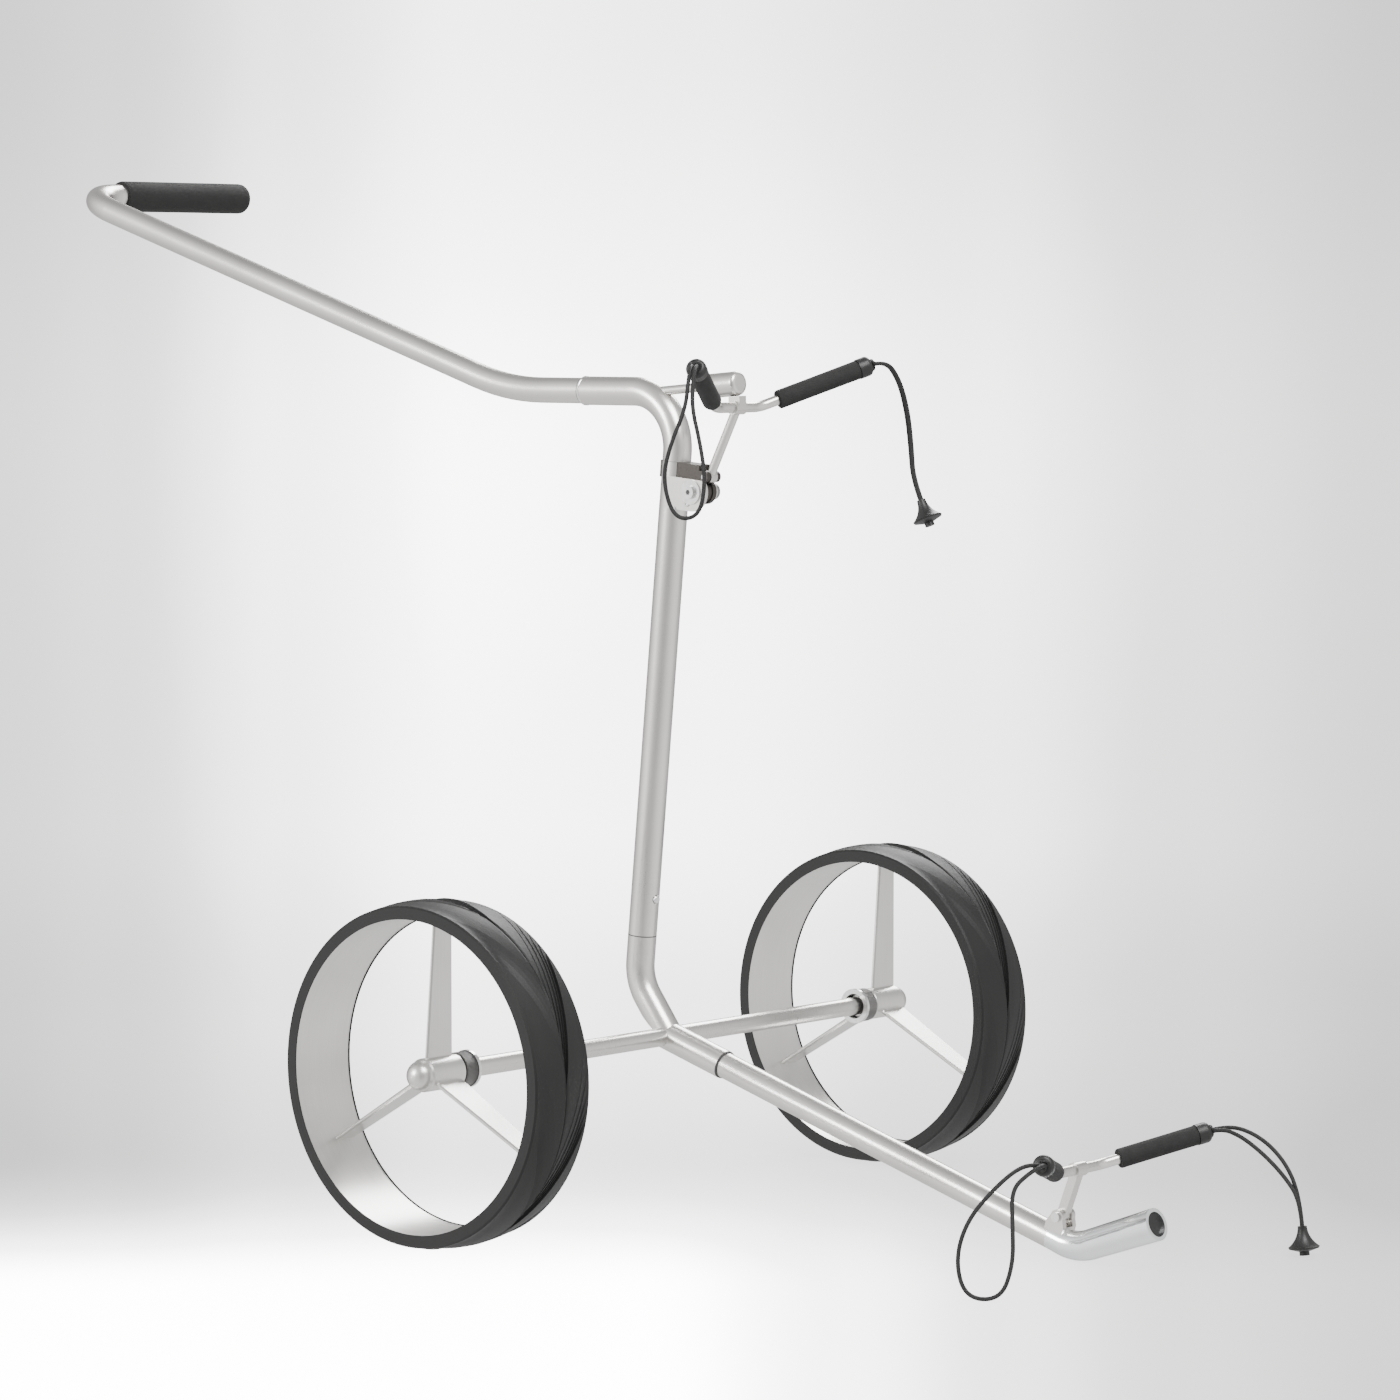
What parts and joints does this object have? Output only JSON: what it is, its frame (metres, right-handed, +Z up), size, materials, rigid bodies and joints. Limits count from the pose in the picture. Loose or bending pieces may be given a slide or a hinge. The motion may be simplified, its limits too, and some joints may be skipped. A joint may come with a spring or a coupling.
{
  "type": "golf push cart",
  "caption": "Two-wheeled golf push cart: bent tube frame, folding handle, quick-release wheels, bag brackets with elastic cords, flared front foot.",
  "frame": {"origin": "on the ground, below the middle of the cart's outline", "axes": "+X right, +Y forward to the foot, +Z up; the wheels turn about X"},
  "size_m": [0.655, 1.3347, 0.894],
  "materials": {
    "tube_metal": "satin brushed, clear",
    "foot_metal": "polished casting",
    "rim_metal": "satin turned",
    "hub_metal": "satin turned, polished nose",
    "hinge_dark": "dark bead-blasted",
    "bright_steel": "bright turned",
    "bearing_steel": "ground",
    "knurled_black": "black anodised, knurled",
    "knob_grey": "satin grey, knurled",
    "tyre_rubber": "matte, creased tread",
    "grip_foam": "fine closed-cell foam",
    "pad_foam": "matte foam",
    "cap_black": "moulded",
    "cord_black": "braided elastic",
    "bush_plastic": "moulded"
  },
  "bodies": {
    "chassis": {"axle_tube": "tube_metal", "axle_rod": "bright_steel", "front_stub": "tube_metal", "lower_bend_tube": "tube_metal", "upright_tube": "tube_metal", "upright_spigot": "tube_metal", "hinge_fork": "tube_metal", "hinge_bolt": "bright_steel", "snap_spring": "bright_steel"},
    "snap_button": {"snap_button": "bright_steel"},
    "front_leg": {"front_tube": "tube_metal", "front_foot": "foot_metal", "foot_plug": "cap_black", "lower_saddle": "tube_metal", "lower_pin": "bright_steel"},
    "lower_bracket": {"lower_post": "tube_metal", "lower_arm_left": "tube_metal", "lower_pad_left": "pad_foam", "lower_cap_left": "cap_black", "lower_arm_right": "tube_metal", "lower_pad_right": "pad_foam", "lower_cap_right": "cap_black", "lower_loop_cord": "cord_black", "lower_toggle_cord_back": "cord_black", "lower_toggle_cord_front": "cord_black", "lower_toggle": "cap_black"},
    "hinge_knob": {"hinge_knob": "knob_grey"},
    "upper_frame": {"bend_tube": "tube_metal", "hinge_lug": "hinge_dark", "strut_pin": "bright_steel", "bracket_rod": "bright_steel"},
    "latch_sleeve": {"latch_sleeve": "tube_metal"},
    "upper_bracket": {"upper_strut": "tube_metal", "upper_arm_left": "tube_metal", "upper_pad_left": "pad_foam", "upper_cap_left": "cap_black", "upper_arm_right": "tube_metal", "upper_pad_right": "pad_foam", "upper_cap_right": "cap_black", "upper_loop_cord": "cord_black", "upper_toggle_cord_back": "cord_black", "upper_toggle_cord_front": "cord_black", "upper_toggle": "cap_black"},
    "handle": {"handle_tube": "tube_metal", "handle_grip": "grip_foam"},
    "wheel_left": {"tyre_left": "tyre_rubber", "rim_left": "rim_metal", "spokes_left": "rim_metal", "hub_left": "hub_metal", "hub_bearings_left": "bearing_steel"},
    "bush_left": {"hub_bush_left": "bush_plastic"},
    "ring_left": {"release_ring_left": "knurled_black"},
    "wheel_right": {"tyre_right": "tyre_rubber", "rim_right": "rim_metal", "spokes_right": "rim_metal", "hub_right": "hub_metal", "hub_bearings_right": "bearing_steel"},
    "bush_right": {"hub_bush_right": "bush_plastic"},
    "ring_right": {"release_ring_right": "knurled_black"}
  },
  "joints": [
    {"name": "wheel_left_pull", "type": "slide", "parent": "chassis", "child": "bush_left", "axis": [-1, 0, 0], "range_m": [0, 0.06]},
    {"name": "wheel_left_spin", "type": "hinge", "parent": "bush_left", "child": "wheel_left", "pos_m": [-0.295, 0.114, 0.145], "axis": [1, 0, 0], "continuous": true},
    {"name": "ring_left_pull", "type": "slide", "parent": "wheel_left", "child": "ring_left", "axis": [1, 0, 0], "range_m": [0, 0.004], "stiffness_N_per_m": 600, "springref_m": -0.002},
    {"name": "wheel_right_pull", "type": "slide", "parent": "chassis", "child": "bush_right", "axis": [1, 0, 0], "range_m": [0, 0.06]},
    {"name": "wheel_right_spin", "type": "hinge", "parent": "bush_right", "child": "wheel_right", "pos_m": [0.295, 0.114, 0.145], "axis": [1, 0, 0], "continuous": true},
    {"name": "ring_right_pull", "type": "slide", "parent": "wheel_right", "child": "ring_right", "axis": [-1, 0, 0], "range_m": [0, 0.004], "stiffness_N_per_m": 600, "springref_m": -0.002},
    {"name": "snap_button_press", "type": "slide", "parent": "chassis", "child": "snap_button", "axis": [0, -0.9954, 0.0955], "range_m": [0, 0.003], "stiffness_N_per_m": 800, "springref_m": -0.002},
    {"name": "front_leg_pull", "type": "slide", "parent": "chassis", "child": "front_leg", "axis": [0, 0.9554, -0.2952], "range_m": [0, 0.05]},
    {"name": "lower_bracket_fold", "type": "hinge", "parent": "front_leg", "child": "lower_bracket", "pos_m": [0, 0.5375, 0.03503], "axis": [1, 0, 0], "range_deg": [0, 75]},
    {"name": "handle_fold", "type": "hinge", "parent": "chassis", "child": "upper_frame", "pos_m": [0, 0.14931, 0.61696], "axis": [-1, 0, 0], "range_deg": [0, 150]},
    {"name": "hinge_knob_turn", "type": "hinge", "parent": "chassis", "child": "hinge_knob", "pos_m": [-0.0158, 0.14931, 0.61696], "axis": [-1, 0, 0], "range_deg": [0, 360]},
    {"name": "bracket_latch_slide", "type": "slide", "parent": "upper_frame", "child": "latch_sleeve", "axis": [0, -0.9963, -0.0854], "range_m": [0, 0.006], "stiffness_N_per_m": 900, "springref_m": -0.003},
    {"name": "upper_bracket_fold", "type": "hinge", "parent": "upper_frame", "child": "upper_bracket", "pos_m": [0, 0.16, 0.63], "axis": [1, 0, 0], "range_deg": [-90, 0]},
    {"name": "handle_pull", "type": "slide", "parent": "upper_frame", "child": "handle", "axis": [0, -1, 0], "range_m": [0, 0.06]}
  ]
}
